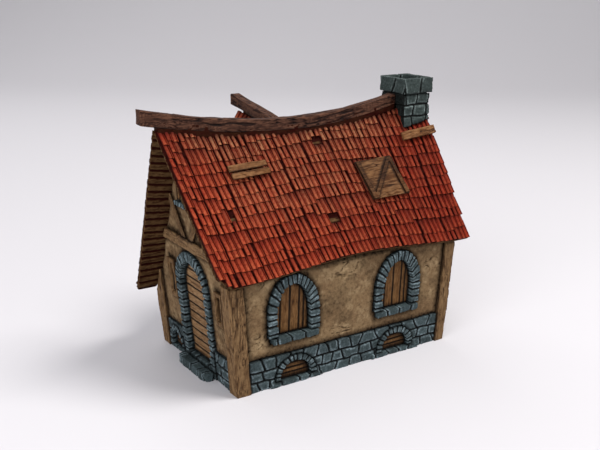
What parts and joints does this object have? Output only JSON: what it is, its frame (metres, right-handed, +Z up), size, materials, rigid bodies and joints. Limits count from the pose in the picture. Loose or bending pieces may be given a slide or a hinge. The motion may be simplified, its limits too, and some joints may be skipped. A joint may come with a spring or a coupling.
{
  "type": "tabletop_scenery",
  "caption": "Painted resin tabletop cottage with stone plinth, plastered walls, arched shuttered windows and a sagging red tiled roof that lifts off",
  "frame": {"origin": "middle of the underside of the base, on the surface that the cottage stands on", "axes": "+Z up, +X along the long front wall towards the chimney gable, -Y out of the front wall"},
  "size_m": [0.1559, 0.094, 0.1294],
  "materials": {
    "plaster": "tan brown plaster paint over resin, drybrushed on the high spots",
    "stone": "blue grey stone paint with pale edges and a dark wash in the joints",
    "frame_timber": "light brown grained timber paint with a dark wash",
    "ridge_timber": "dark brown grained timber paint, greyed on top",
    "joinery": "warm brown board paint with a dark wash",
    "roof_tile": "brick red tile paint, orange and tan drybrushing",
    "base": "plain dark brown paint inside and underneath"
  },
  "bodies": {
    "house": {"wall_front": "plaster", "wall_rear": "plaster", "wall_door_gable": "plaster", "wall_chimney_gable": "plaster", "plinth_front": "stone", "plinth_rear": "stone", "plinth_chimney_gable": "stone", "plinth_gable_left_of_door": "stone", "plinth_gable_right_of_door": "stone", "window_front_left_surround": "stone", "window_front_left_sill": "stone", "window_front_right_surround": "stone", "window_front_right_sill": "stone", "window_rear_surround": "stone", "window_rear_sill": "stone", "cellar_window_front_left_arch": "stone", "cellar_window_front_right_arch": "stone", "cellar_window_gable_arch": "stone", "door_surround": "stone", "door_threshold": "stone", "door_step": "stone", "slit_window_left": "stone", "slit_window_right": "stone", "attic_sill": "stone", "post_front_left": "frame_timber", "post_front_right": "frame_timber", "post_rear_left": "frame_timber", "post_rear_right": "frame_timber", "door_gable_tie_beam": "frame_timber", "door_gable_brace_left": "frame_timber", "door_gable_brace_right": "frame_timber", "chimney_gable_tie_beam": "frame_timber", "chimney_gable_brace_left": "frame_timber", "chimney_gable_brace_right": "frame_timber", "rear_gable_tie_beam": "frame_timber", "rear_gable_brace_left": "frame_timber", "rear_gable_brace_right": "frame_timber", "window_front_left_shutters": "joinery", "window_front_right_shutters": "joinery", "window_rear_shutters": "joinery", "cellar_window_front_left_boards": "joinery", "cellar_window_front_right_boards": "joinery", "cellar_window_gable_boards": "joinery", "door_leaf": "joinery", "attic_window": "joinery", "base_floor": "base"},
    "roof": {"chimney_shaft": "stone", "chimney_cap": "stone", "hatch_panel": "joinery", "hatch_battens": "joinery", "patch_board_upper": "joinery", "patch_board_lower": "joinery", "chimney_plank": "joinery", "ridge_beam": "ridge_timber", "cross_ridge_beam": "ridge_timber", "roof_front": "roof_tile", "roof_rear_left": "roof_tile", "roof_rear_right": "roof_tile", "roof_cross_left": "roof_tile", "roof_cross_right": "roof_tile"}
  },
  "joints": [
    {"name": "roof_lift", "type": "slide", "parent": "house", "child": "roof", "axis": [0, 0, 1], "range_m": [0, 0.09]}
  ]
}
